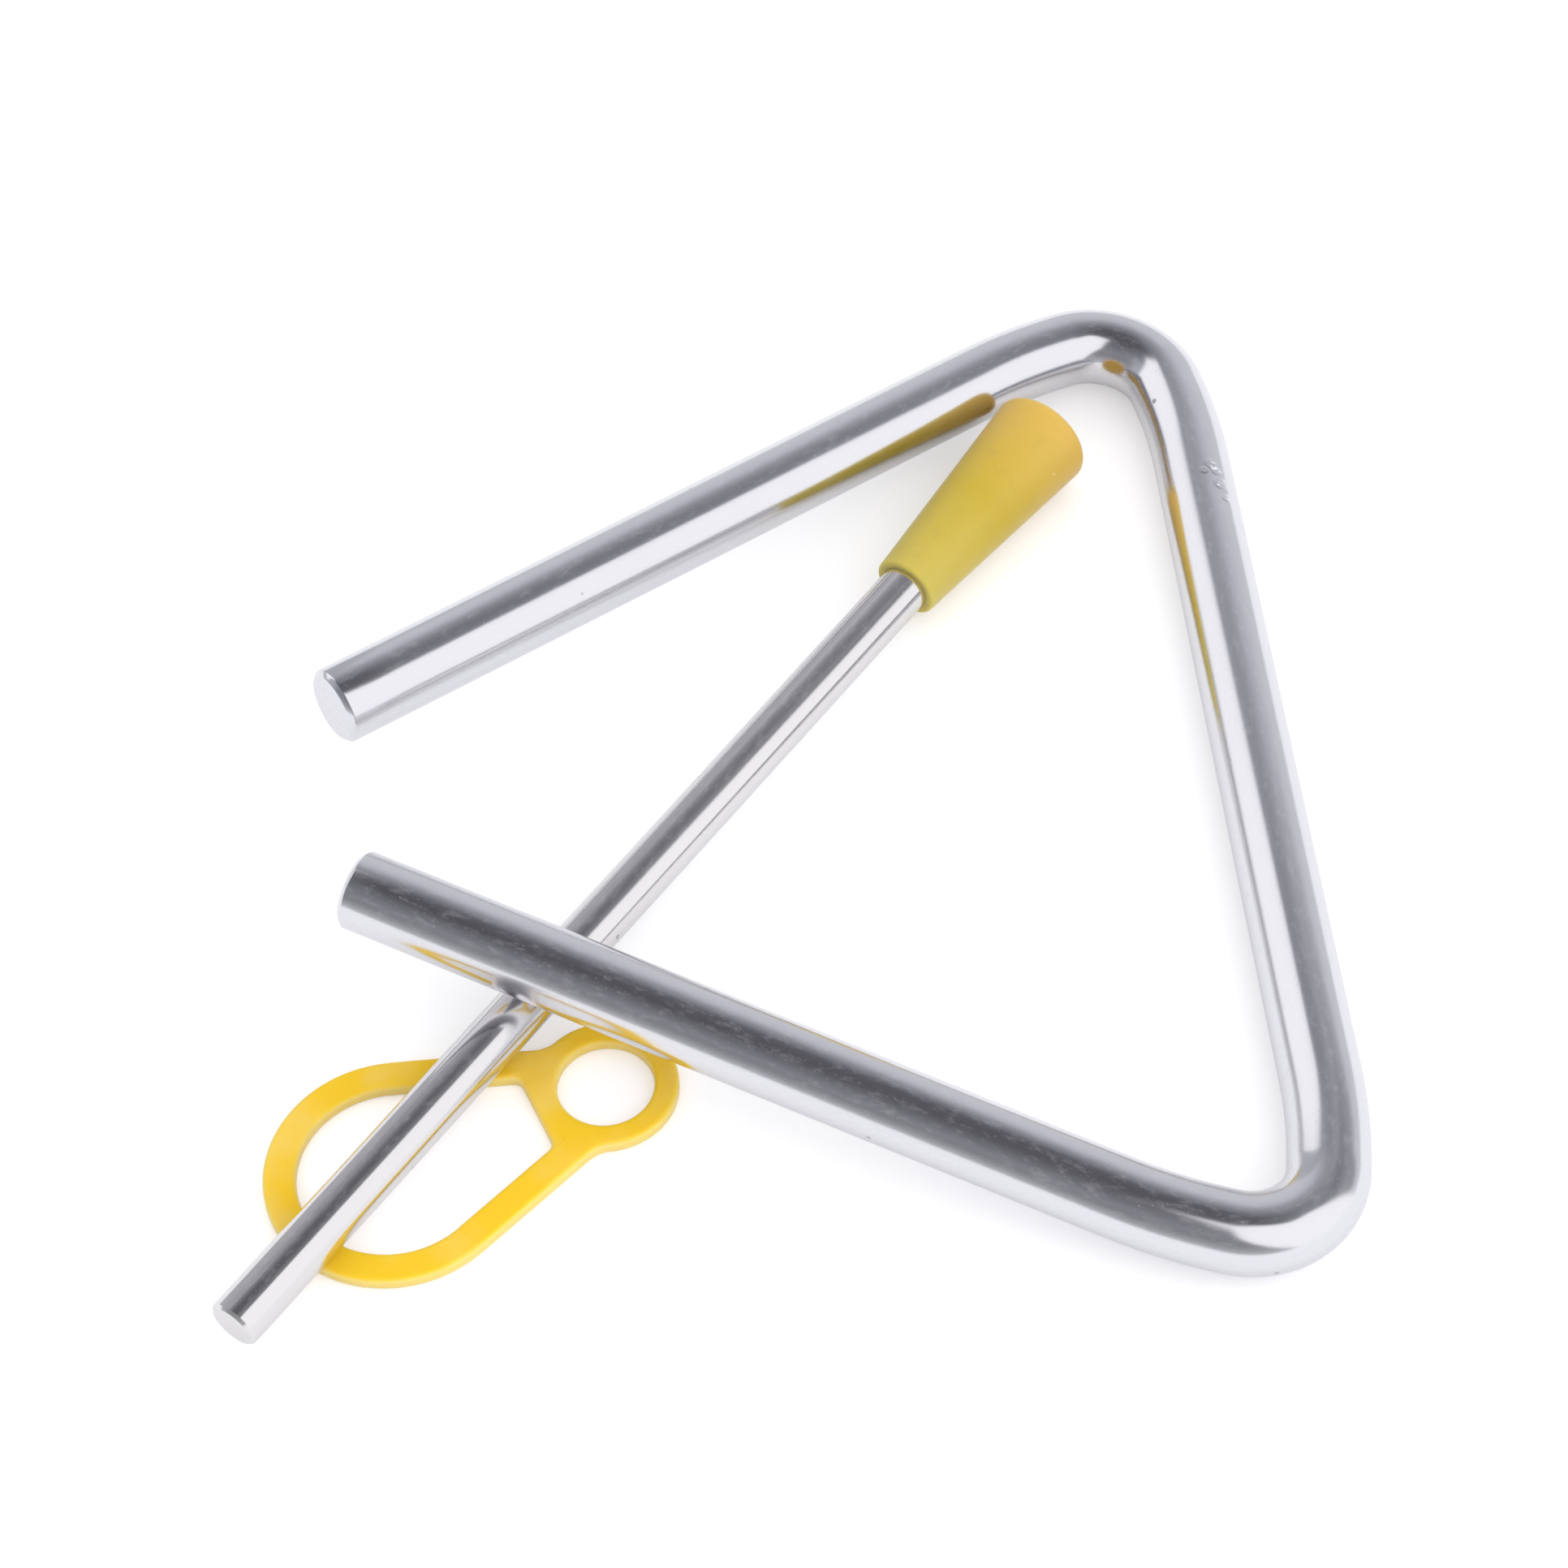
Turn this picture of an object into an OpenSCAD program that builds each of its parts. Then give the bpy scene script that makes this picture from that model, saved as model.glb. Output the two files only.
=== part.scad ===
// Triangle with its beater and finger holder, lying together on a table.
// The holder lies flat, the beater lies over its loop, and the triangle leans on the beater.

/* [Triangle bar] */
// Diameter of the round bar
bar_d = 8; // [6:0.1:10]
// Side between the two bends, corner to corner along the middle of the bar
side_l = 127; // [115:1:150]
// Lower leg, from its corner to its cut end
leg_l = 104; // [95:1:112]
// How much longer the upper leg is
upper_more = 1.4; // [0:0.1:4]
// Angle between the side and each leg
corner_deg = 60; // [58:0.5:62]
// Radius of the tight middle of each bend, to the middle of the bar
bend_r = 8; // [6.5:0.5:12]
// Radius of the easy run into each bend, to the middle of the bar
ease_r = 52; // [30:1:70]
// Turn taken by each easy run
ease_deg = 10.5; // [4:0.5:14]
// How much thinner the bar is drawn in its bends
bend_draw = 0.04; // [0.02:0.01:0.1]
// Chamfer round each cut end
bar_chamfer = 0.5; // [0.2:0.1:1]

/* [Beater] */
// Diameter of the round rod
rod_d = 5.2; // [4:0.1:6]
// Length from the rod's free end to the end of the grip
beater_l = 131.7; // [120:0.1:145]
// Chamfer round each end of the rod
rod_chamfer = 0.3; // [0.1:0.05:0.6]
// Length of the grip
grip_l = 25.4; // [20:0.1:32]
// Diameter of the grip where the rod goes in
grip_small_d = 7; // [6.6:0.1:8.4]
// Diameter of the grip at the hand end
grip_big_d = 10.8; // [9:0.1:13]
// Rounding round the hand end
grip_rim_r = 1.1; // [0.5:0.1:1.8]
// Rounding round the mouth of the grip
grip_lip_r = 0.35; // [0.1:0.05:0.5]
// Solid end of the grip behind the rod
grip_floor = 4.4; // [3:0.1:8]

/* [Finger holder] */
// Thickness of the moulding
holder_t = 1.6; // [1.2:0.1:3]
// Rounding along every edge
holder_edge_r = 0.5; // [0.2:0.05:0.55]
// Inside width of the loop at its round end
loop_d = 18.4; // [16:0.1:22]
// Width of the band round the loop
band_w = 3.2; // [2.4:0.1:4]
// Closing angle of each side of the loop towards the ring
side_deg = 20.5; // [16:0.5:23]
// Hole for the bar
ring_hole_d = 9.4; // [8.5:0.1:10.5]
// Width of the ring round the hole
ring_w = 2.4; // [2:0.1:3.2]
// From the middle of the loop's round end to the middle of the hole
ring_reach = 22.1; // [20:0.1:26]
// How far the straight web stands into the loop past the ring
web_proud = 0.1; // [0.05:0.05:1]
// Hollow rounding outside, where each side meets the ring
neck_r = 3.5; // [2:0.1:6]
// Rounding of the two inside corners of the loop
corner_r = 1.2; // [0.6:0.1:2]

/* [Lie on the table] */
// Turn of the beater from straight across
beater_turn = 47.6; // [44:0.1:52]
// Where the beater passes under the lower leg, from the corner
cross_at = 85.3; // [78:0.1:92]
// Clearance between the hand end of the grip and the upper leg
grip_gap = 0.8; // [0.3:0.1:2]
// From the rod's free end to the middle of the loop
loop_in = 22.8; // [18:0.1:28]
// From the rod's line to the middle of the loop
loop_aside = 0.1; // [0:0.1:2]
// Turn of the holder from straight across
holder_turn = 19; // [10:0.5:30]
// Clearance under each piece that lies on another
rest_gap = 0.1; // [0.05:0.05:0.3]
// Clearance round the rod in the grip
grip_fit = 0.02; // [0.01:0.01:0.05]

/* [Hidden] */
$fn = 64;

// Facets of the small roundings
edge_fn = 24;

// Overrun of every cut past its faces
overrun = 1;

bar_r = bar_d/2;
rod_r = rod_d/2;

// Bends: easy run, short straight, tight middle, short straight, easy run, each tangent to the next
turn_deg = 180 - corner_deg;
ease_gap = ease_r - bend_r;
short_l = 1;
hub_in = ease_r - ease_gap*cos(ease_deg) + short_l*sin(ease_deg);
hub_back = hub_in/tan(corner_deg/2);
bend_l = hub_back + ease_gap*sin(ease_deg) + short_l*cos(ease_deg);

// Each straight narrows at its ends into the thinner bend, which starts a little inside it
seam_l = 0.2;
bend_lap = 0.45;
seam = [bend_draw, seam_l];
bar_cut = [bar_chamfer, bar_chamfer];
rod_cut = [rod_chamfer, rod_chamfer];

// Grip: the cone's line is tangent to the rounded lip and to the rounded rim
grip_r = grip_big_d/2;
lip_at = [grip_small_d/2 - grip_lip_r, grip_lip_r];
rim_at = [grip_r - grip_rim_r, grip_l - grip_rim_r];
cone_run = rim_at - lip_at;
cone_deg = atan2(cone_run.x, cone_run.y) + asin((grip_rim_r - grip_lip_r)/norm(cone_run));

// Holder: middle lines of its band, and the circles that its corners and neck turn round
// A curved stretch is slimmer by the draw on every side and laps into its neighbours
band_draw = 0.02;
band_lap = 0.1;
band_r = (loop_d + band_w)/2;
hole_r = ring_hole_d/2;
ring_r = hole_r + ring_w/2;
web_at = ring_reach - hole_r - ring_w - web_proud;
side_out = [sin(side_deg), cos(side_deg)];
side_on = [cos(side_deg), -sin(side_deg)];
ring_at = [ring_reach, 0];
neck_out = band_r + band_w/2 + neck_r;
neck_on = ring_at*side_on - sqrt(pow(hole_r + ring_w + neck_r, 2) - pow(neck_out - ring_at*side_out, 2));
neck_at = neck_out*side_out + neck_on*side_on;
neck_deg = atan2(neck_at.y, neck_at.x - ring_reach);
corner_out = loop_d/2 - corner_r;
corner_at = [web_at - corner_r,
             (corner_out - (web_at - corner_r)*sin(side_deg))/cos(side_deg)];

// Lie of the beater: its hand end clears the upper leg, and its line passes under the lower leg
upper_corner = [0, side_l/2];
lower_corner = [0, -side_l/2];
beater_on = [cos(beater_turn), sin(beater_turn)];
leg_inward = [cos(corner_deg), -sin(corner_deg)];
cross_point = lower_corner + cross_at*[-sin(corner_deg), cos(corner_deg)];
rim_off_leg = bar_r + grip_gap + rim_at.x*cos(beater_turn + corner_deg - 90) + grip_rim_r;
rim_on = (rim_off_leg - (cross_point - upper_corner)*leg_inward)/(beater_on*leg_inward);
rim_place = cross_point + rim_on*beater_on;

// Dip of the beater: from the rim on the table to the band under the rod
rim_l = beater_l - grip_rim_r;
band_top_r = band_r + band_w/2 - holder_edge_r;
seat_in = loop_in - sqrt(band_top_r*band_top_r - loop_aside*loop_aside);
seat_drop = grip_r - holder_t - rest_gap - rod_r;
dip = asin(seat_drop/(rim_l - seat_in));
rim_h = rim_at.x*cos(dip) + grip_rim_r;
beater_dir = [-beater_on.x*cos(dip), -beater_on.y*cos(dip), -sin(dip)];
free_end = [rim_place.x, rim_place.y, rim_h] + rim_l*beater_dir;

// Lean of the triangle, by halving: its lower leg clears the rod by the rest gap
lean_max_deg = 30;
lean_steps = 40;
function leg_height(lean) =
    let (leg = [-sin(corner_deg)*cos(lean), cos(corner_deg), sin(corner_deg)*sin(lean)],
         square = cross(leg, beater_dir))
    ([lower_corner.x, lower_corner.y, bar_r] - free_end)*square/norm(square);
function find_lean(low, high, steps) =
    let (middle = (low + high)/2)
    steps == 0 ? middle
    : leg_height(middle) < bar_r + rod_r + rest_gap ? find_lean(middle, high, steps - 1)
    : find_lean(low, middle, steps - 1);
lean = find_lean(0, lean_max_deg, lean_steps);

// Lie of the holder, and the middle of the whole layout
loop_place = [free_end.x, free_end.y] + loop_in*cos(dip)*beater_on + loop_aside*[-beater_on.y, beater_on.x];
rod_reach = rod_r*sqrt(1 - pow(beater_dir.x, 2));
leg_reach = bar_r*sqrt(1 - pow(sin(corner_deg)*cos(lean), 2));
left_edge = min(free_end.x - (rod_reach - rod_chamfer*rod_reach/rod_r),
                free_end.x - rod_chamfer*beater_dir.x - rod_reach,
                loop_place.x - band_r - band_w/2,
                -(leg_l + upper_more)*sin(corner_deg)*cos(lean) - leg_reach);
middle_x = (left_edge + bar_r)/2;

function polar(r, deg) = [r*cos(deg), r*sin(deg)];

// A straight stretch along +Z. Each end narrows by so much, over such a length
module round_bar(r, length, start, end) {
    rotate_extrude()
        polygon([[0, 0], [r - start.x, 0], [r, start.y],
                 [r, length - end.y], [r - end.x, length], [0, length]]);
}

// A stretch of bar bent round a point, running into the straights at both ends
module bent_bar(at, r, from_deg, to_deg) {
    lap_deg = bend_lap/r*180/PI;
    translate([at.x, at.y, 0]) rotate([0, 0, from_deg - lap_deg])
        rotate_extrude(angle = to_deg - from_deg + 2*lap_deg)
            translate([r, 0]) circle(d = bar_d - bend_draw);
}

// A straight stretch of bar in the plane of the triangle, from a point on a circle, along its tangent
module tangent_bar(at, r, deg, length, end) {
    start = at + polar(r, deg);
    translate([start.x, start.y, 0]) rotate([0, 90, deg + 90])
        round_bar(bar_r, length, seam, end);
}

// One bend and its leg, with the corner at the origin and the side running down -Y
module bend_and_leg(leg_l) {
    hub = [-hub_in, -hub_back];
    side_ease = [-ease_r, -bend_l];
    leg_hub = hub + short_l*polar(1, turn_deg - ease_deg + 90);
    leg_ease = leg_hub - polar(ease_gap, turn_deg - ease_deg);
    bent_bar(side_ease, ease_r, 0, ease_deg);
    tangent_bar(side_ease, ease_r, ease_deg, short_l, seam);
    bent_bar(hub, bend_r, ease_deg, turn_deg - ease_deg);
    tangent_bar(hub, bend_r, turn_deg - ease_deg, short_l, seam);
    bent_bar(leg_ease, ease_r, turn_deg - ease_deg, turn_deg);
    tangent_bar(leg_ease, ease_r, turn_deg, leg_l - bend_l, bar_cut);
}

module triangle_bar() {
    color("silver")
        translate([-middle_x, 0, bar_r]) rotate([0, lean, 0]) {
            translate([0, bend_l - side_l/2, 0]) rotate([-90, 0, 0])
                round_bar(bar_r, side_l - 2*bend_l, seam, seam);
            translate([0, side_l/2, 0]) bend_and_leg(leg_l + upper_more);
            mirror([0, 1, 0]) translate([0, side_l/2, 0]) bend_and_leg(leg_l);
        }
}

// Puts a piece drawn along +Z from the rod's free end in its place on the table
module lay_beater() {
    translate([free_end.x - middle_x, free_end.y, free_end.z]) rotate([0, 90 - dip, beater_turn])
        children();
}

module beater_rod() {
    color("gainsboro") lay_beater()
        round_bar(rod_r, beater_l - grip_floor, rod_cut, rod_cut);
}

module beater_grip() {
    slope = [cos(cone_deg), -sin(cone_deg)];
    color("#d8be50") lay_beater() translate([0, 0, beater_l - grip_l])
        difference() {
            rotate_extrude() {
                polygon([[0, 0], [lip_at.x, 0], lip_at, lip_at + grip_lip_r*slope,
                         rim_at + grip_rim_r*slope, rim_at, [rim_at.x, grip_l], [0, grip_l]]);
                translate(lip_at) circle(r = grip_lip_r, $fn = edge_fn);
                translate(rim_at) circle(r = grip_rim_r, $fn = edge_fn);
            }
            translate([0, 0, -overrun])
                cylinder(r = rod_r + grip_fit, h = grip_l - grip_floor + overrun);
        }
}

// Section of a band with rounded edges, standing on the table, centred on x = 0
module band_section(width, draw) {
    translate([holder_edge_r - width/2, draw])
        square([width - 2*holder_edge_r, holder_t - 2*draw]);
    translate([draw - width/2, holder_edge_r])
        square([width - 2*draw, holder_t - 2*holder_edge_r]);
    for (side = [-1, 1], h = [holder_edge_r, holder_t - holder_edge_r])
        translate([side*(width/2 - holder_edge_r), h]) circle(r = holder_edge_r - draw, $fn = edge_fn);
}

module straight_band(width, at, heading, length) {
    translate([at.x, at.y, 0]) rotate([90, 0, heading + 90])
        linear_extrude(length) band_section(width, 0);
}

// A curved stretch, drawn a little slimmer and running into the stretches at both ends
module bent_band(width, at, r, from_deg, to_deg) {
    lap_deg = band_lap/r*180/PI;
    translate([at.x, at.y, 0]) rotate([0, 0, from_deg - lap_deg])
        rotate_extrude(angle = to_deg - from_deg + 2*lap_deg)
            translate([r, 0]) band_section(width, band_draw);
}

// One side of the holder, from the round end to the ring, with its corner and neck roundings
module holder_side() {
    straight_band(band_w, band_r*side_out, -side_deg, neck_on);
    bent_band(ring_w, neck_at, neck_r + ring_w/2, 270 - side_deg, 180 + neck_deg);
    bent_band(ring_w, corner_at, corner_r + ring_w/2, 0, 90 - side_deg);
}

// The solid part of the neck, from the middle of each band round it to the next
module neck() {
    web_middle = web_at + ring_w/2;
    half = [[web_middle, (band_r - web_middle*sin(side_deg))/cos(side_deg)],
            band_r*side_out + neck_on*side_on,
            ring_at + polar(ring_r, neck_deg),
            ring_at + polar(ring_r, (neck_deg + 180)/2)];
    linear_extrude(holder_t)
        polygon(concat(half, [ring_at - [ring_r, 0]],
                       [for (i = [len(half) - 1:-1:0]) [half[i].x, -half[i].y]]));
}

module finger_holder() {
    color("#fbc831")
        translate([loop_place.x - middle_x, loop_place.y, 0]) rotate([0, 0, holder_turn]) {
            bent_band(band_w, [0, 0], band_r, 90 - side_deg, 270 + side_deg);
            for (flip = [0, 1]) mirror([0, flip, 0]) holder_side();
            neck();
            translate([ring_reach, 0, 0]) rotate_extrude() translate([ring_r, 0]) band_section(ring_w, 0);
            straight_band(ring_w, [web_at + ring_w/2, -corner_at.y], 90, 2*corner_at.y);
        }
}

triangle_bar();
beater_rod();
beater_grip();
finger_holder();
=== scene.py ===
"""Looks of a triangle, its beater and its finger holder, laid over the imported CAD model.

The bar is drawn again as one smooth sweep, so that its plating reflects without seams.
The rod, the grip and the holder keep their CAD shapes and get their finishes here.
"""

import math

import bpy
from bpy.props import FloatProperty, FloatVectorProperty, IntProperty, PointerProperty
from mathutils import Matrix, Vector


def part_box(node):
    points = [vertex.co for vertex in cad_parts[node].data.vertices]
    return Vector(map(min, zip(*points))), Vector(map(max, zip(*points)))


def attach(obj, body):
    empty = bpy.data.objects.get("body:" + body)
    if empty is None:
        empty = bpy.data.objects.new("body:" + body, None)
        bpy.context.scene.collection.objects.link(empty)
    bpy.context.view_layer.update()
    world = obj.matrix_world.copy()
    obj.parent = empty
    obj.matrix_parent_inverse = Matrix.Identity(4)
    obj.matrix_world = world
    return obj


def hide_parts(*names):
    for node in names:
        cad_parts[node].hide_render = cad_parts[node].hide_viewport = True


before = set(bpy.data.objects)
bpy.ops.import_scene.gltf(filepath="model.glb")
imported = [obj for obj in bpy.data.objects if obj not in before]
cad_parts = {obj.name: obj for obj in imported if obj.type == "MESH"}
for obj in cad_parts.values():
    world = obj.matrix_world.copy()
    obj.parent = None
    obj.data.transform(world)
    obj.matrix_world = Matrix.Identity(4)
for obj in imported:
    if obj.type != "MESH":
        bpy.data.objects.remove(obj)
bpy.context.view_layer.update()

bl_info = {
    "name": "Triangle with beater and holder",
    "version": (1, 0, 0),
    "blender": (4, 5, 0),
    "location": "3D View > Sidebar > Triangle",
    "description": "Bends the plated bar and finishes the rod, the grip and the finger holder",
    "category": "Object",
}

MM = 0.001

# The CAD bar's radius, and how far right its side reaches
CAD_BAR_RADIUS = 4 * MM
CAD_BAR_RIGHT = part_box("triangle_bar")[1].x

# Lengths of sweep in each straight run, each easy run and each tight middle of a bend
STRAIGHT_STEPS = 12
EASE_STEPS = 8
TIGHT_STEPS = 40

# Edges that turn by more than this are chamfered, and stay sharp in the shading
SHARP = math.radians(30)

# Worn spots on top of the side, near the upper bend, flecked with painted glints: places and radii,
# in millimetres
WORN_GLINTING_SPOTS = (
    ((51.2, 34.3, 7.97), 0.6),
    ((52.5, 34.3, 7.6), 0.8),
    ((52.1, 35.2, 7.7), 1.0),
    ((52.7, 32.6, 7.5), 1.1),
    ((53.0, 30.7, 7.3), 0.7),
)

PIT_COLOUR = (0.25, 0.24, 0.22)
# Near-white painted glints in the worn spots
PAINTED_GLINT_COLOUR = (0.97, 0.97, 0.98)
GRIME_COLOUR = (0.42, 0.33, 0.08)
DUST_COLOUR = (0.9, 0.86, 0.7)
BLACK = (0, 0, 0)

SENSOR_WIDTH = 36
# The floor lies this far below the pieces, so that no faces coincide
FLOOR_GAP = 0.02 * MM
# The part of the floor's lift that mirrors and clear pieces see
MIRRORED_LIFT = 0.25

# Brightness of the room by height, from 0 at level to 1 straight up
ROOM_BEHIND = (
    (0.0, 0.68), (0.29, 0.68), (0.52, 0.64), (0.64, 0.56), (0.74, 0.42),
    (0.82, 0.32), (0.90, 0.22), (0.95, 0.13), (1.0, 0.11),
)
ROOM_BEFORE = (
    (0.0, 0.55), (0.24, 0.37), (0.44, 0.26), (0.62, 0.28), (0.75, 0.23),
    (0.86, 0.18), (0.94, 0.13), (1.0, 0.11),
)
LEVEL_TINT = (0.98, 0.98, 1.03)
OVERHEAD_TINT = (0.96, 0.96, 1.07)
PATCH_TINT = (0.995, 0.995, 1.015)


# Sizes and colours that a user would change


class BarSettings(bpy.types.PropertyGroup):
    """Sizes of the bent bar, as its CAD source has them, and its plating."""

    radius: FloatProperty(
        name="Radius", description="Radius of the round bar, a hair inside the CAD bar",
        default=3.97 * MM, unit="LENGTH", precision=6)
    side: FloatProperty(
        name="Side", description="Straight side, corner to corner along the bar's middle",
        default=127 * MM, unit="LENGTH")
    leg: FloatProperty(
        name="Lower leg", description="Lower leg, from its corner to its cut end",
        default=104 * MM, unit="LENGTH")
    upper_more: FloatProperty(
        name="Upper leg's extra", description="How much longer the upper leg is",
        default=1.4 * MM, unit="LENGTH")
    corner: FloatProperty(
        name="Corner", description="Angle between the side and each leg",
        default=math.radians(60), subtype="ANGLE")
    bend_radius: FloatProperty(
        name="Bend radius", description="Radius of the tight middle of each bend",
        default=8 * MM, unit="LENGTH")
    ease_radius: FloatProperty(
        name="Ease radius", description="Radius of the easy run into each bend",
        default=52 * MM, unit="LENGTH")
    ease_turn: FloatProperty(
        name="Ease turn", description="Turn taken by each easy run",
        default=math.radians(10.5), subtype="ANGLE")
    short_run: FloatProperty(
        name="Short run", description="Short straight between an easy run and the tight middle",
        default=1 * MM, unit="LENGTH")
    lean: FloatProperty(
        name="Lean", description="Tilt of the triangle from its side up to its legs",
        default=math.radians(5.68026), subtype="ANGLE")
    chamfer: FloatProperty(
        name="End chamfer", description="Chamfer round each cut end",
        default=0.5 * MM, unit="LENGTH")
    facets: IntProperty(
        name="Facets", description="Facets round the bar", default=96, min=24, max=192)
    plating: FloatVectorProperty(
        name="Plating", description="Colour of the bright plating",
        default=(0.79, 0.79, 0.82), subtype="COLOR", size=3, min=0, max=1)
    roughness: FloatProperty(
        name="Roughness", description="Roughness of the clean plating",
        default=0.15, min=0, max=1)


class BeaterSettings(bpy.types.PropertyGroup):
    """Lie of the beater and the colours of its rod and grip."""

    turn: FloatProperty(
        name="Turn", description="Turn of the rod from straight across",
        default=math.radians(47.6), subtype="ANGLE")
    dip: FloatProperty(
        name="Dip", description="Slope of the rod down to its free end",
        default=math.radians(0.526537), subtype="ANGLE")
    plating: FloatVectorProperty(
        name="Plating", description="Colour of the rod's plating",
        default=(0.79, 0.775, 0.775), subtype="COLOR", size=3, min=0, max=1)
    roughness: FloatProperty(
        name="Roughness", description="Roughness of the clean rod",
        default=0.11, min=0, max=1)
    grip_length: FloatProperty(
        name="Grip length", description="Length over which the grip's colour changes",
        default=25.4 * MM, unit="LENGTH")
    grip_mouth: FloatVectorProperty(
        name="Grip at the rod", description="Colour of the grip's small end",
        default=(0.60, 0.485, 0.100), subtype="COLOR", size=3, min=0, max=1)
    grip_middle: FloatVectorProperty(
        name="Grip's middle", description="Colour of the grip half way along",
        default=(0.58, 0.43, 0.048), subtype="COLOR", size=3, min=0, max=1)
    grip_hand: FloatVectorProperty(
        name="Grip at the hand", description="Colour of the grip's big end",
        default=(0.72, 0.47, 0.105), subtype="COLOR", size=3, min=0, max=1)


class HolderSettings(bpy.types.PropertyGroup):
    """Colours of the moulded finger holder."""

    amber: FloatVectorProperty(
        name="Amber", description="Colour of the moulding",
        default=(0.97, 0.60, 0.015), subtype="COLOR", size=3, min=0, max=1)
    # Pale also paints light: below its flat top, along its edges and walls, the holder turns paler
    pale: FloatVectorProperty(
        name="Pale", description="Colour of the moulding's edges and of its paler clouds",
        default=(0.98, 0.74, 0.26), subtype="COLOR", size=3, min=0, max=1)
    roughness: FloatProperty(
        name="Roughness", description="Roughness of the moulded surface",
        default=0.34, min=0, max=1)


class StageSettings(bpy.types.PropertyGroup):
    """Camera, floor and light."""

    camera_place: FloatVectorProperty(
        name="Camera", description="Where the camera stands",
        default=(-8.8102 * MM, -267.7227 * MM, 358.4180 * MM), subtype="TRANSLATION", size=3)
    camera_turn: FloatVectorProperty(
        name="Camera turn", description="Turn of the camera",
        default=(math.radians(37.2647), math.radians(2.3992), math.radians(-5.8238)),
        subtype="EULER", size=3)
    lens: FloatProperty(
        name="Lens", description="Focal length for a 36 mm sensor, in millimetres",
        default=102.3216, min=20, max=400)
    floor_size: FloatProperty(
        name="Floor", description="Width of the floor", default=2.4, unit="LENGTH")
    floor_colour: FloatVectorProperty(
        name="Floor colour", description="Colour of the plain floor",
        default=(0.86, 0.86, 0.87), subtype="COLOR", size=3, min=0, max=1)
    floor_lift: FloatProperty(
        name="Floor lift", description="White added to the floor where it is seen",
        default=0.3, min=0, max=1)
    patches: FloatProperty(
        name="Bright patches", description="Brightness of the room's bright patches, 1 is white",
        default=1.12, min=0, max=10)
    fill: FloatProperty(
        name="Fill", description="Brightness of the large soft light, which no metal mirrors",
        default=0.84, min=0, max=10)
    fill_place: FloatVectorProperty(
        name="Fill's place", description="Where the large soft light hangs",
        default=(0.13, -0.20, 0.78), subtype="TRANSLATION", size=3)
    fill_size: FloatProperty(
        name="Fill's size", description="Width of the large soft light",
        default=2.6, unit="LENGTH")


# Shader sums


class Wire:
    """An output of a shader node, on which sums are written as plain arithmetic."""

    def __init__(self, finish, socket):
        self.finish = finish
        self.socket = socket

    def sum(self, operation, first, second):
        return self.finish.node("ShaderNodeMath", {"operation": operation}, {0: first, 1: second})

    def __add__(self, other):
        return self.sum("ADD", self, other)

    def __radd__(self, other):
        return self.sum("ADD", other, self)

    def __sub__(self, other):
        return self.sum("SUBTRACT", self, other)

    def __rsub__(self, other):
        return self.sum("SUBTRACT", other, self)

    def __mul__(self, other):
        return self.sum("MULTIPLY", self, other)

    def __rmul__(self, other):
        return self.sum("MULTIPLY", other, self)

    def __truediv__(self, other):
        return self.sum("DIVIDE", self, other)

    def __rtruediv__(self, other):
        return self.sum("DIVIDE", other, self)

    def __lt__(self, other):
        return self.sum("LESS_THAN", self, other)

    def __gt__(self, other):
        return self.sum("GREATER_THAN", self, other)


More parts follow.
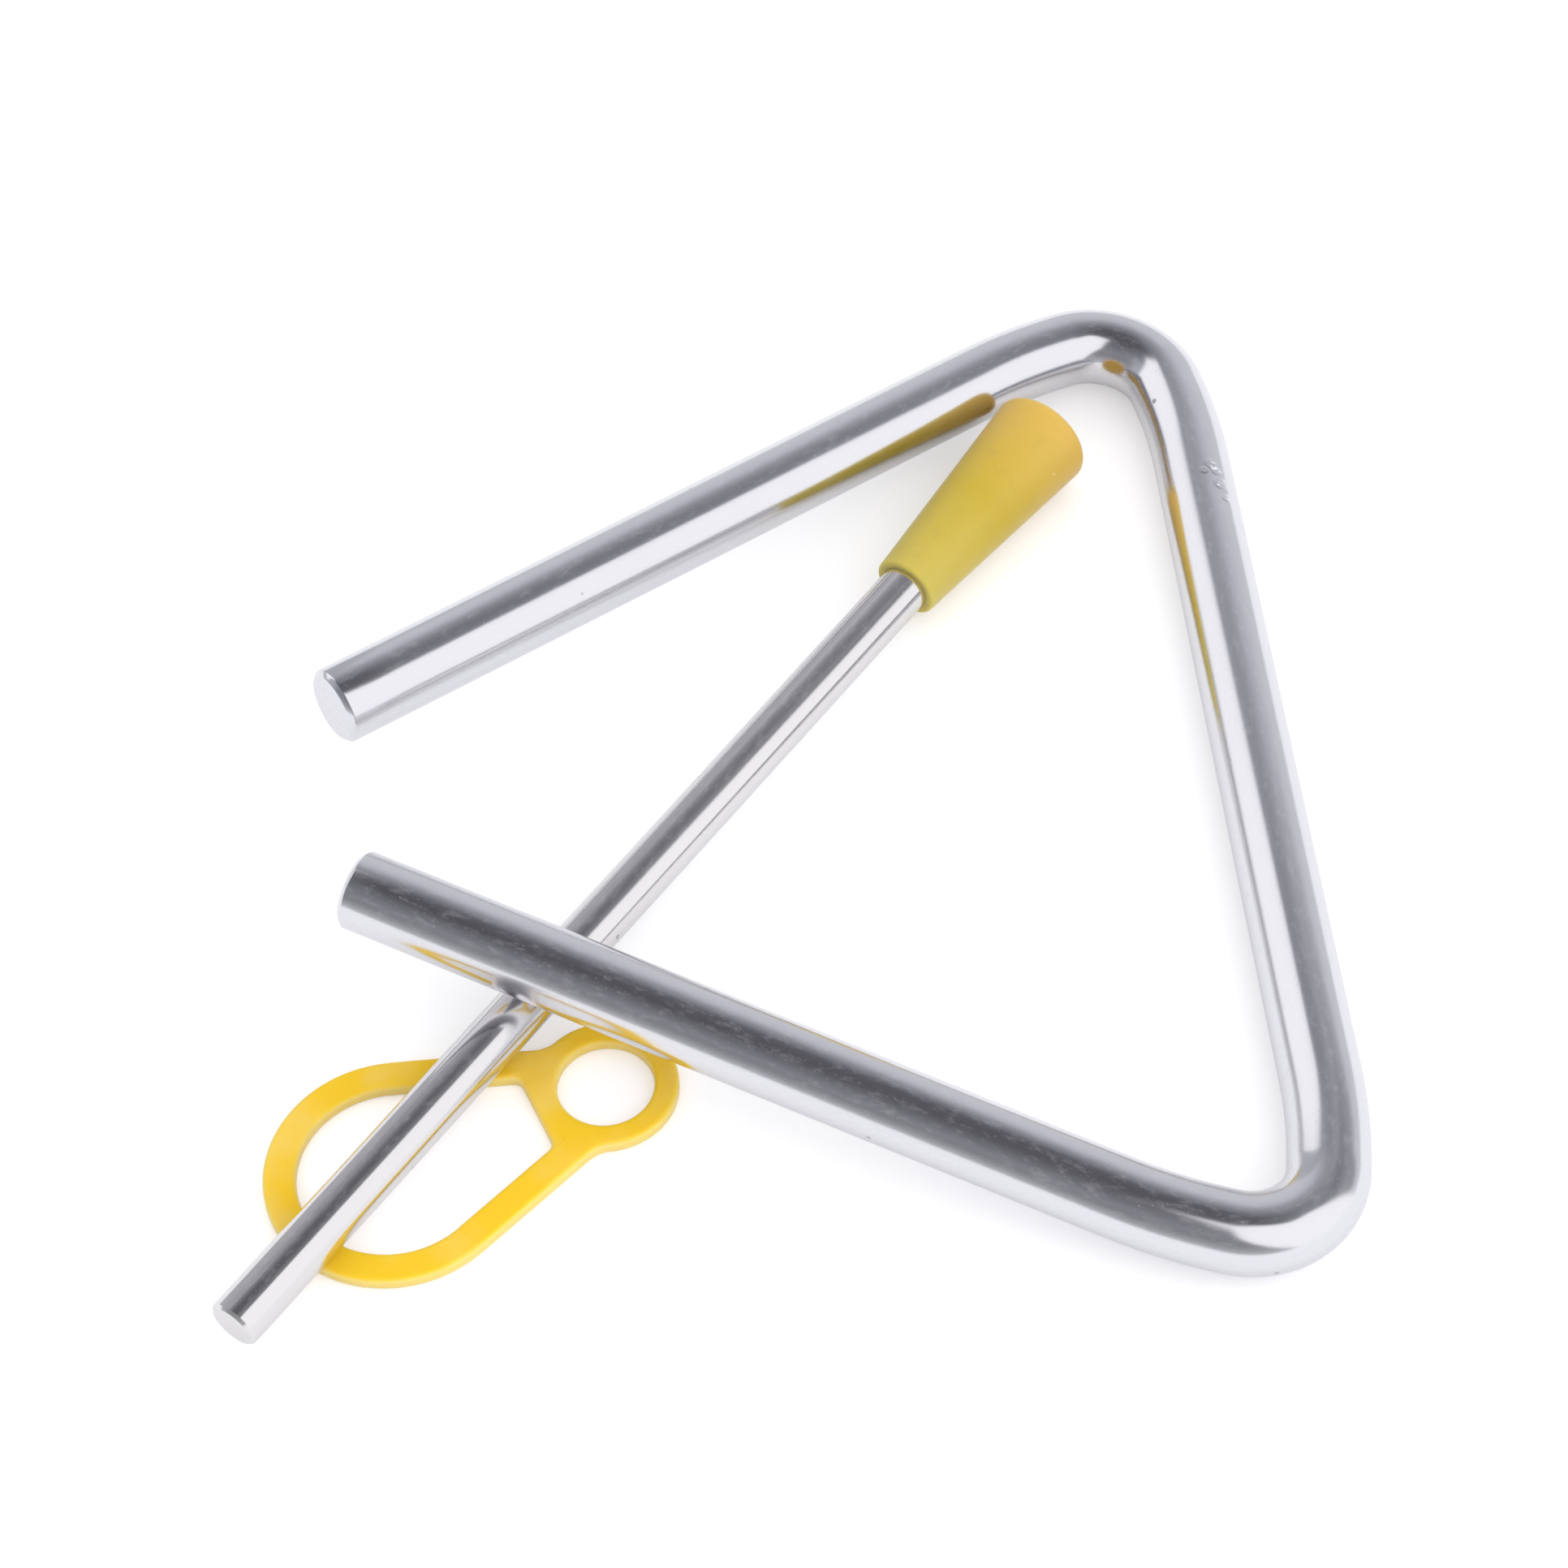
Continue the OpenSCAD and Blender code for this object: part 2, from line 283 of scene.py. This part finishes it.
class Finish:
    """The nodes of one material or of the world, made through one method."""

    def __init__(self, owner):
        owner.use_nodes = True
        self.owner = owner
        self.tree = owner.node_tree
        self.tree.nodes.clear()

    def node(self, kind, settings=None, values=None, output=0):
        """Adds a node, sets its settings, then its sockets by name, identifier or number."""
        node = self.tree.nodes.new(kind)
        for name, value in (settings or {}).items():
            if name == "stops":
                self.set_stops(node.color_ramp, value)
            else:
                setattr(node, name, value)
        for key, value in (values or {}).items():
            socket = self.find(node.inputs, key)
            if isinstance(value, Wire):
                self.tree.links.new(value.socket, socket)
            else:
                socket.default_value = value
        return Wire(self, self.find(node.outputs, output)) if len(node.outputs) else None

    @staticmethod
    def find(sockets, key):
        """A socket by its number, its identifier or its name."""
        if isinstance(key, int):
            return sockets[key]
        for socket in sockets:
            if socket.identifier == key:
                return socket
        return sockets[key]

    @staticmethod
    def set_stops(ramp, stops):
        """Sets a colour ramp's stops, each a place and a colour or a grey."""
        while len(ramp.elements) < len(stops):
            ramp.elements.new(0.5)
        for element, (place, value) in zip(ramp.elements, stops):
            element.position = place
            element.color = (*value, 1) if hasattr(value, "__len__") else (value, value, value, 1)

    def ramp(self, factor, stops):
        return self.node("ShaderNodeValToRGB", {"stops": stops}, {0: factor})

    def mix(self, factor, first, second):
        """A colour between two others."""
        colours = {key: value if isinstance(value, Wire) else (*value, 1)
                   for key, value in (("A_Color", first), ("B_Color", second))}
        return self.node("ShaderNodeMix", {"data_type": "RGBA"},
                         {"Factor_Float": factor, **colours}, "Result_Color")

    def soft_step(self, value, zero_at, one_at):
        """Eases from 0 to 1 between two values, of which either may be the higher one."""
        falling = zero_at > one_at
        return self.node(
            "ShaderNodeMapRange", {"interpolation_type": "SMOOTHSTEP"},
            {"Value": value, "From Min": min(zero_at, one_at), "From Max": max(zero_at, one_at),
             "To Min": 1.0 if falling else 0.0, "To Max": 0.0 if falling else 1.0})

    def scaled(self, vector, factors):
        """A vector or a colour times another, part by part."""
        return self.node("ShaderNodeVectorMath", {"operation": "MULTIPLY"}, {0: vector, 1: factors})

    def noise(self, vector, scale, detail=2.0, roughness=0.5):
        """Smooth noise from 0 to 1, at so many lumps a metre."""
        return self.node(
            "ShaderNodeTexNoise", None,
            {"Vector": vector, "Scale": scale, "Detail": detail, "Roughness": roughness})

    def specks(self, vector, scale, size, share):
        """Round specks in a share of the cells, each of a size from 0 to 1 of a cell."""
        cells = {"Vector": vector, "Scale": scale, "Randomness": 1.0}
        distance = self.node("ShaderNodeTexVoronoi", None, cells, "Distance")
        colour = self.node("ShaderNodeTexVoronoi", None, cells, "Color")
        chance = self.node("ShaderNodeSeparateColor", None, {0: colour})
        return self.soft_step(distance, size, size * 0.5) * (chance < share)

    def near(self, vector, place, radius):
        """1 at a place, falling to 0 at a radius from it."""
        distance = self.node("ShaderNodeVectorMath", {"operation": "DISTANCE"},
                             {0: vector, 1: place}, "Value")
        return self.soft_step(distance, radius, radius * 0.35)

    def surface(self, values, *bumps):
        """The principled shader over its bumps, each the values of a Bump node, wired up."""
        for bump in bumps:
            below = {"Normal": values["Normal"]} if "Normal" in values else {}
            values = {**values, "Normal": self.node("ShaderNodeBump", None, {**bump, **below})}
        shader = self.node("ShaderNodeBsdfPrincipled", None, values)
        self.node("ShaderNodeOutputMaterial", None, {"Surface": shader})
        return self.owner


def new_finish(name):
    return Finish(bpy.data.materials.new(name))


def dress(piece, material):
    """Gives every material slot of a piece the same material."""
    if not piece.data.materials:
        piece.data.materials.append(material)
    for index in range(len(piece.data.materials)):
        piece.data.materials[index] = material


# Modelling helpers


def start_clean():
    """Leaves edit mode and deselects everything."""
    if bpy.context.object and bpy.context.object.mode != "OBJECT":
        bpy.ops.object.mode_set(mode="OBJECT")
    bpy.ops.object.select_all(action="DESELECT")


def heading(angle):
    """The level direction at an angle from +X."""
    return Vector((math.cos(angle), math.sin(angle), 0))


class BarPath:
    """Sweeps the open ring of edges that is selected, and notes the middle line as it goes."""

    def __init__(self, place, angle):
        self.place = Vector(place)
        self.angle = angle
        self.line = [self.place.copy()]

    def straight(self, length, steps):
        for _ in range(steps):
            step = heading(self.angle) * length / steps
            bpy.ops.mesh.extrude_edges_move(TRANSFORM_OT_translate={"value": step})
            self.place = self.place + step
            self.line.append(self.place.copy())

    def bend(self, radius, turn, steps):
        """Turns right about a point at the radius. Spin turns right for a positive angle."""
        centre = self.place + heading(self.angle - math.pi / 2) * radius
        bpy.ops.mesh.spin(steps=steps, angle=turn, center=centre, axis=(0, 0, 1))
        arm = self.place - centre
        for step in range(1, steps + 1):
            self.line.append(centre + Matrix.Rotation(-turn * step / steps, 3, "Z") @ arm)
        self.place = self.line[-1].copy()
        self.angle -= turn


def straighten(bar, line):
    """Keeps, for each vertex, where it would be if the bar were straight along X."""
    lengths = []
    start = 0.0
    for before, after in zip(line, line[1:]):
        lengths.append((start, before, after - before))
        start += (after - before).length
    coordinates = []
    for vertex in bar.data.vertices:
        nearest = None
        for start, before, along in lengths:
            share = max(0.0, min(1.0, (vertex.co - before).dot(along) / along.length_squared))
            distance = (vertex.co - before - along * share).length
            if nearest is None or distance < nearest[0]:
                nearest = (distance, start + along.length * share, before + along * share, along)
        _, run, middle, along = nearest
        outward = vertex.co - middle
        aside = outward.dot(Vector((-along.y, along.x, 0)).normalized())
        coordinates += [run, aside, outward.z]
    attribute = bar.data.attributes.new("straightened", "FLOAT_VECTOR", "POINT")
    attribute.data.foreach_set("vector", coordinates)


def plating(name, lines_along, colour, roughness, worn_glinting_spots=()):
    """Bright plating with faint draw lines, haze, mottling, pits, dust and worn spots flecked with
    painted glints.
    """
    finish = new_finish(name)
    places = finish.node("ShaderNodeTexCoord", output="Object")
    along = lines_along(finish, places)
    lines = finish.noise(finish.scaled(along, (0.02, 1, 1)), scale=2600, detail=3, roughness=0.6)
    haze = finish.noise(places, scale=70, detail=3)
    grain = finish.noise(places, scale=1500)
    pits = finish.specks(places, scale=420, size=0.16, share=0.05)
    dust = finish.specks(places, scale=2300, size=0.24, share=0.22)
    streaks = finish.noise(finish.scaled(along, (0.4, 1, 1)), scale=1500, detail=4, roughness=0.7)
    mottle = finish.soft_step(streaks, 0.48, 0.72)
    base = finish.mix(haze * 0.25, colour, tuple(c * 0.86 for c in colour))
    base = finish.mix(pits * 0.5, base, PIT_COLOUR)
    rough = roughness + haze * 0.04 + pits * 0.25 + dust * 0.1
    metal = 1.0 - dust * 0.06 - mottle * 0.09
    relief = lines * 0.35 + grain * 0.12 - pits * 1.5
    bumps = [{"Height": relief, "Strength": 0.12, "Distance": 0.04 * MM}]
    if worn_glinting_spots:
        wear_and_glint_mask = 0.0
        for place, radius in worn_glinting_spots:
            wear_and_glint_mask = wear_and_glint_mask + finish.near(places, tuple(c * MM for c in place), radius * MM)
        fine = finish.noise(
            finish.scaled(places, (1, 1.6, 1)), scale=2300, detail=3, roughness=0.6)
        # Painted glints: near-white, barely metallic flecks in the worn spots, which are also
        # rougher and bumped
        painted_glints = finish.soft_step(fine * wear_and_glint_mask, 0.50, 0.64) * 0.85
        base = finish.mix(painted_glints, base, PAINTED_GLINT_COLOUR)
        rough = rough + wear_and_glint_mask * 0.06 + painted_glints * 0.4
        metal = metal - painted_glints * 0.7
        bumps.append({"Height": fine * wear_and_glint_mask, "Strength": 0.5, "Distance": 0.15 * MM})
    return finish.surface({"Base Color": base, "Metallic": metal, "Roughness": rough}, *bumps)


# Operators


class TRIANGLE_OT_bend_bar(bpy.types.Operator):
    """Draws the bar as one smooth sweep: leg, bend, side, bend and leg"""

    bl_idname = "triangle.bend_bar"
    bl_label = "Bend the bar"

    def execute(self, context):
        s = context.scene.triangle_bar_sizes
        bar, line = self.sweep(context, s)
        if sum(len(face.vertices) == s.facets for face in bar.data.polygons) != 2:
            raise RuntimeError("the bar's two cut ends aren't closed")
        straighten(bar, line)

        bar.rotation_euler = (0, s.lean, 0)
        bar.location = (CAD_BAR_RIGHT - CAD_BAR_RADIUS, 0, CAD_BAR_RADIUS)
        bpy.ops.object.transform_apply(location=True, rotation=True, scale=True)
        self.cut_ends(bar, s.chamfer)
        bpy.ops.object.shade_smooth_by_angle(angle=SHARP)

        def along_bar(finish, places):
            return finish.node("ShaderNodeAttribute", {"attribute_name": "straightened"},
                               output="Vector")

        dress(bar, plating("bar plating", along_bar, tuple(s.plating), s.roughness, WORN_GLINTING_SPOTS))
        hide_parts("triangle_bar")
        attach(bar, "triangle")
        return {"FINISHED"}

    @staticmethod
    def sweep(context, s):
        """Sweeps a circle along the flat path, closes its ends and returns it with the path."""
        turn = math.pi - s.corner
        tight = turn - 2 * s.ease_turn
        gap = s.ease_radius - s.bend_radius
        # How far the tight middle's hub lies from the straight run's middle line, and how far
        # from the corner the bend starts
        hub_in = (s.ease_radius - gap * math.cos(s.ease_turn) + s.short_run * math.sin(s.ease_turn))
        reach = (hub_in / math.tan(s.corner / 2) + gap * math.sin(s.ease_turn)
                 + s.short_run * math.cos(s.ease_turn))

        # The sweep starts at the upper leg's cut end and goes clockwise, seen from above
        angle = math.pi / 2 - s.corner
        corner = Vector((0, s.side / 2, 0))
        start = corner - heading(angle) * (s.leg + s.upper_more)
        start_clean()
        bpy.ops.mesh.primitive_circle_add(
            vertices=s.facets, radius=s.radius, fill_type="NOTHING", location=start,
            rotation=heading(angle).to_track_quat("Z", "Y").to_euler())
        bar = context.object
        bar.name = bar.data.name = "bent_bar"
        bpy.ops.object.transform_apply(location=True, rotation=True, scale=True)
        bpy.ops.object.mode_set(mode="EDIT")
        bpy.ops.mesh.select_all(action="SELECT")
        path = BarPath(start, angle)

        def bend():
            path.bend(s.ease_radius, s.ease_turn, EASE_STEPS)
            path.straight(s.short_run, 1)
            path.bend(s.bend_radius, tight, TIGHT_STEPS)
            path.straight(s.short_run, 1)
            path.bend(s.ease_radius, s.ease_turn, EASE_STEPS)

        path.straight(s.leg + s.upper_more - reach, STRAIGHT_STEPS)
        bend()
        path.straight(s.side - 2 * reach, STRAIGHT_STEPS)
        bend()
        path.straight(s.leg - reach, STRAIGHT_STEPS)

        bpy.ops.mesh.select_all(action="DESELECT")
        bpy.ops.mesh.select_mode(type="EDGE")
        bpy.ops.mesh.select_non_manifold(
            extend=False, use_boundary=True, use_wire=False, use_multi_face=False,
            use_non_contiguous=False, use_verts=False)
        bpy.ops.mesh.edge_face_add()
        bpy.ops.mesh.select_all(action="SELECT")
        bpy.ops.mesh.normals_make_consistent(inside=False)
        bpy.ops.object.mode_set(mode="OBJECT")
        return bar, path.line

    @staticmethod
    def cut_ends(bar, chamfer):
        """Chamfers the rim of each cut end, then rounds the chamfer's own edges a sixth as wide."""
        for width, segments in ((chamfer, 1), (chamfer / 6, 2)):
            start_clean()
            bar.select_set(True)
            bpy.context.view_layer.objects.active = bar
            cut = bar.modifiers.new("cut ends", "BEVEL")
            cut.width = width
            cut.segments = segments
            cut.limit_method = "ANGLE"
            cut.angle_limit = SHARP
            cut.use_clamp_overlap = False
            bpy.ops.object.modifier_apply(modifier=cut.name)


class TRIANGLE_OT_plate_rod(bpy.types.Operator):
    """Plates the beater's rod, with its draw lines along it"""

    bl_idname = "triangle.plate_rod"
    bl_label = "Plate the rod"

    def execute(self, context):
        s = context.scene.triangle_beater
        # A Mapping node turns the pattern, so the rod's own line becomes X
        turn = (0, -s.dip, -s.turn)

        def along_rod(finish, places):
            return finish.node("ShaderNodeMapping", {"vector_type": "POINT"},
                               {"Vector": places, "Rotation": turn})

        dress(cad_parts["beater_rod"],
              plating("rod plating", along_rod, tuple(s.plating), s.roughness))
        return {"FINISHED"}


class TRIANGLE_OT_colour_grip(bpy.types.Operator):
    """Gives the grip its satin, slightly see-through colour, warmer towards the hand"""

    bl_idname = "triangle.colour_grip"
    bl_label = "Colour the grip"

    def execute(self, context):
        s = context.scene.triangle_beater
        low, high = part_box("beater_grip")
        centre = (low + high) / 2
        direction = heading(s.turn)
        finish = new_finish("grip rubber")
        places = finish.node("ShaderNodeTexCoord", output="Object")
        along = finish.node("ShaderNodeVectorMath", {"operation": "DOT_PRODUCT"},
                            {0: places, 1: direction}, "Value")
        share = (along - centre.dot(direction)) / s.grip_length + 0.5
        clouds = finish.noise(places, scale=160, detail=3)
        colour = finish.ramp(share + (clouds - 0.5) * 0.22, (
            (0.0, tuple(s.grip_mouth)), (0.45, tuple(s.grip_middle)), (1.0, tuple(s.grip_hand))))
        grime = finish.noise(places, scale=420, detail=3, roughness=0.6)
        colour = finish.mix(finish.soft_step(grime, 0.56, 0.78) * 0.18, colour, GRIME_COLOUR)
        dust = finish.specks(places, scale=700, size=0.14, share=0.05)
        colour = finish.mix(dust * 0.35, colour, DUST_COLOUR)
        rough = 0.42 + clouds * 0.10 + dust * 0.2
        grain = finish.noise(places, scale=2600)
        dress(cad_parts["beater_grip"], finish.surface(
            {"Base Color": colour, "Roughness": rough, "Subsurface Weight": 0.6,
             "Subsurface Radius": (1.0, 0.8, 0.35), "Subsurface Scale": 2.5 * MM,
             "Specular IOR Level": 0.4, "Sheen Weight": 0.3, "Sheen Roughness": 0.35},
            {"Height": grain * 0.5 + clouds, "Strength": 0.15, "Distance": 0.05 * MM}))
        return {"FINISHED"}


class TRIANGLE_OT_mould_holder(bpy.types.Operator):
    """Gives the finger holder its amber plastic with paler clouds, and painted light that makes it
    paler below its flat top, along its edges and walls
    """

    bl_idname = "triangle.mould_holder"
    bl_label = "Mould the holder"

    def execute(self, context):
        s = context.scene.triangle_holder
        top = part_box("finger_holder")[1].z
        finish = new_finish("holder plastic")
        places = finish.node("ShaderNodeTexCoord", output="Object")
        height = finish.node("ShaderNodeSeparateXYZ", None, {0: places}, "Z")
        flow = finish.noise(places, scale=110, detail=3)
        colour = finish.mix(finish.soft_step(flow, 0.42, 0.72) * 0.4, tuple(s.amber), tuple(s.pale))
        # Painted light: below the flat top, along the rounded edges and walls, the colour turns
        # paler, as if lit through the plastic
        painted_edge_light = finish.soft_step(height, top - 0.02 * MM, top - 0.30 * MM)
        colour = finish.mix(painted_edge_light * 0.7, colour, tuple(s.pale))
        scuffs = finish.noise(
            finish.scaled(places, (1, 4, 1)), scale=500, detail=3, roughness=0.6)
        rough = s.roughness + flow * 0.06 + finish.soft_step(scuffs, 0.55, 0.7) * 0.12
        grain = finish.noise(places, scale=1800)
        dress(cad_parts["finger_holder"], finish.surface(
            {"Base Color": colour, "Roughness": rough, "Subsurface Weight": 0.5,
             "Subsurface Radius": (1.0, 0.6, 0.15), "Subsurface Scale": 1.8 * MM,
             "Specular IOR Level": 0.5},
            {"Height": grain * 0.4 + flow, "Strength": 0.12, "Distance": 0.04 * MM}))
        return {"FINISHED"}


class TRIANGLE_OT_set_stage(bpy.types.Operator):
    """Adds the camera, the floor, the large soft light and the room that the plating reflects"""

    bl_idname = "triangle.set_stage"
    bl_label = "Set the stage"

    def execute(self, context):
        s = context.scene.triangle_stage
        self.add_camera(context, s)
        self.add_floor(context, s)
        self.add_fill(context, s)
        self.light_room(context, s.patches)
        context.scene.view_settings.view_transform = "Standard"
        return {"FINISHED"}

    @staticmethod
    def add_camera(context, s):
        start_clean()
        bpy.ops.object.camera_add(location=s.camera_place, rotation=s.camera_turn)
        camera = context.object
        camera.name = "camera"
        camera.data.sensor_width = SENSOR_WIDTH
        camera.data.lens = s.lens
        camera.data.clip_start = 0.01
        camera.data.clip_end = 20
        context.scene.camera = camera

    @staticmethod
    def add_floor(context, s):
        """A plain pale floor, a little whiter where it is seen than its light makes it."""
        start_clean()
        bpy.ops.mesh.primitive_plane_add(size=s.floor_size, location=(0, 0, -FLOOR_GAP))
        floor = context.object
        floor.name = floor.data.name = "floor"
        bpy.ops.object.transform_apply(location=True, rotation=True, scale=True)
        finish = new_finish("pale floor")
        paint = finish.node("ShaderNodeBsdfDiffuse", None, {"Color": (*s.floor_colour, 1)})
        seen = finish.node("ShaderNodeLightPath", output="Is Camera Ray")
        mirrored = finish.node("ShaderNodeLightPath", output="Is Glossy Ray")
        through = finish.node("ShaderNodeLightPath", output="Is Transmission Ray")
        share = seen + (mirrored + through) * MIRRORED_LIFT
        lift = finish.node("ShaderNodeEmission", None,
                           {"Color": (1, 1, 1, 1), "Strength": share * s.floor_lift})
        whole = finish.node("ShaderNodeAddShader", None, {0: paint, 1: lift})
        finish.node("ShaderNodeOutputMaterial", None, {"Surface": whole})
        dress(floor, finish.owner)

    @staticmethod
    def add_fill(context, s):
        """The one lamp: large and soft, overhead, a little to the front and the right."""
        start_clean()
        place = Vector(s.fill_place)
        bpy.ops.object.light_add(
            type="AREA", location=place, rotation=place.to_track_quat("Z", "Y").to_euler())
        lamp = context.object
        lamp.name = lamp.data.name = "overhead_fill"
        lamp.data.shape = "SQUARE"
        lamp.data.size = s.fill_size
        lamp.data.energy = s.fill * math.pi * lamp.data.size ** 2
        lamp.visible_glossy = False
        lamp.visible_camera = False

    @staticmethod
    def light_room(context, patches):
        """Pale behind, dark overhead and in front, with one bright patch right and one back left."""
        world = bpy.data.worlds.new("room")
        context.scene.world = world
        room = Finish(world)
        way = room.node("ShaderNodeTexCoord", output="Generated")
        right, back, up = (room.node("ShaderNodeSeparateXYZ", None, {0: way}, axis)
                           for axis in "XYZ")

        # The room is darker beside each bright patch
        beside_right = room.soft_step(right + up, 1.10, 1.24) * room.soft_step(up, 0.82, 0.74)
        beside_left = room.soft_step(right, -0.10, -0.22)
        behind = room.mix(beside_right * 0.48, room.ramp(up, ROOM_BEHIND), BLACK)
        behind = room.mix(beside_left * 0.28, behind, BLACK)
        before = room.ramp(up, ROOM_BEFORE)
        colour = room.mix(room.soft_step(back, 0.1, -0.3), behind, before)
        colour = room.scaled(colour, room.mix(up, LEVEL_TINT, OVERHEAD_TINT))

        # Each patch is the product of its soft edges
        high_up = room.soft_step(up, 0.82, 0.87)
        back_edge = room.soft_step(back + high_up * 0.17, 0.05, -0.07)
        slanted_edge = room.soft_step(right + up * 0.9, 0.50, 0.64)
        left_edge = room.soft_step(right, -0.12, 0.02)
        top_edge = room.soft_step(up, 0.98, 0.945)
        right_patch = back_edge * slanted_edge * left_edge * top_edge

        slanted_edge = room.soft_step(right + back * 0.6 - up * 0.65, -0.34, -0.44)
        front_edge = room.soft_step(back, 0.25, 0.35)
        low_edge = room.soft_step(up, 0.06, 0.26)
        top_edge = room.soft_step(up, 0.88, 0.80)
        left_patch = slanted_edge * front_edge * low_edge * top_edge

        white = tuple(patches * share for share in PATCH_TINT)
        colour = room.mix(room.soft_step(right_patch + left_patch, 0.0, 1.0), colour, white)
        shade = room.node("ShaderNodeBackground", None, {"Color": colour, "Strength": 1.0})
        room.node("ShaderNodeOutputWorld", None, {"Surface": shade})


class TRIANGLE_PT_tools(bpy.types.Panel):
    """Sizes, colours and steps of the triangle"""

    bl_label = "Triangle"
    bl_idname = "TRIANGLE_PT_tools"
    bl_space_type = "VIEW_3D"
    bl_region_type = "UI"
    bl_category = "Triangle"

    def draw(self, context):
        scene = context.scene
        for title, group, steps in (
            ("Bar", scene.triangle_bar_sizes, (TRIANGLE_OT_bend_bar,)),
            ("Beater", scene.triangle_beater, (TRIANGLE_OT_plate_rod, TRIANGLE_OT_colour_grip)),
            ("Finger holder", scene.triangle_holder, (TRIANGLE_OT_mould_holder,)),
            ("Stage", scene.triangle_stage, (TRIANGLE_OT_set_stage,)),
        ):
            box = self.layout.box()
            box.label(text=title)
            for name in group.__annotations__:
                box.prop(group, name)
            for step in steps:
                box.operator(step.bl_idname)


CLASSES = (
    BarSettings, BeaterSettings, HolderSettings, StageSettings,
    TRIANGLE_OT_bend_bar, TRIANGLE_OT_plate_rod, TRIANGLE_OT_colour_grip,
    TRIANGLE_OT_mould_holder, TRIANGLE_OT_set_stage, TRIANGLE_PT_tools,
)
SETTINGS = {
    "triangle_bar_sizes": BarSettings,
    "triangle_beater": BeaterSettings,
    "triangle_holder": HolderSettings,
    "triangle_stage": StageSettings,
}


def register():
    for item in CLASSES:
        bpy.utils.register_class(item)
    for name, group in SETTINGS.items():
        setattr(bpy.types.Scene, name, PointerProperty(type=group))


def unregister():
    for name in SETTINGS:
        delattr(bpy.types.Scene, name)
    for item in reversed(CLASSES):
        bpy.utils.unregister_class(item)


def main():
    register()
    bpy.ops.triangle.bend_bar()
    bpy.ops.triangle.plate_rod()
    bpy.ops.triangle.colour_grip()
    bpy.ops.triangle.mould_holder()
    bpy.ops.triangle.set_stage()


if __name__ == "__main__":
    main()
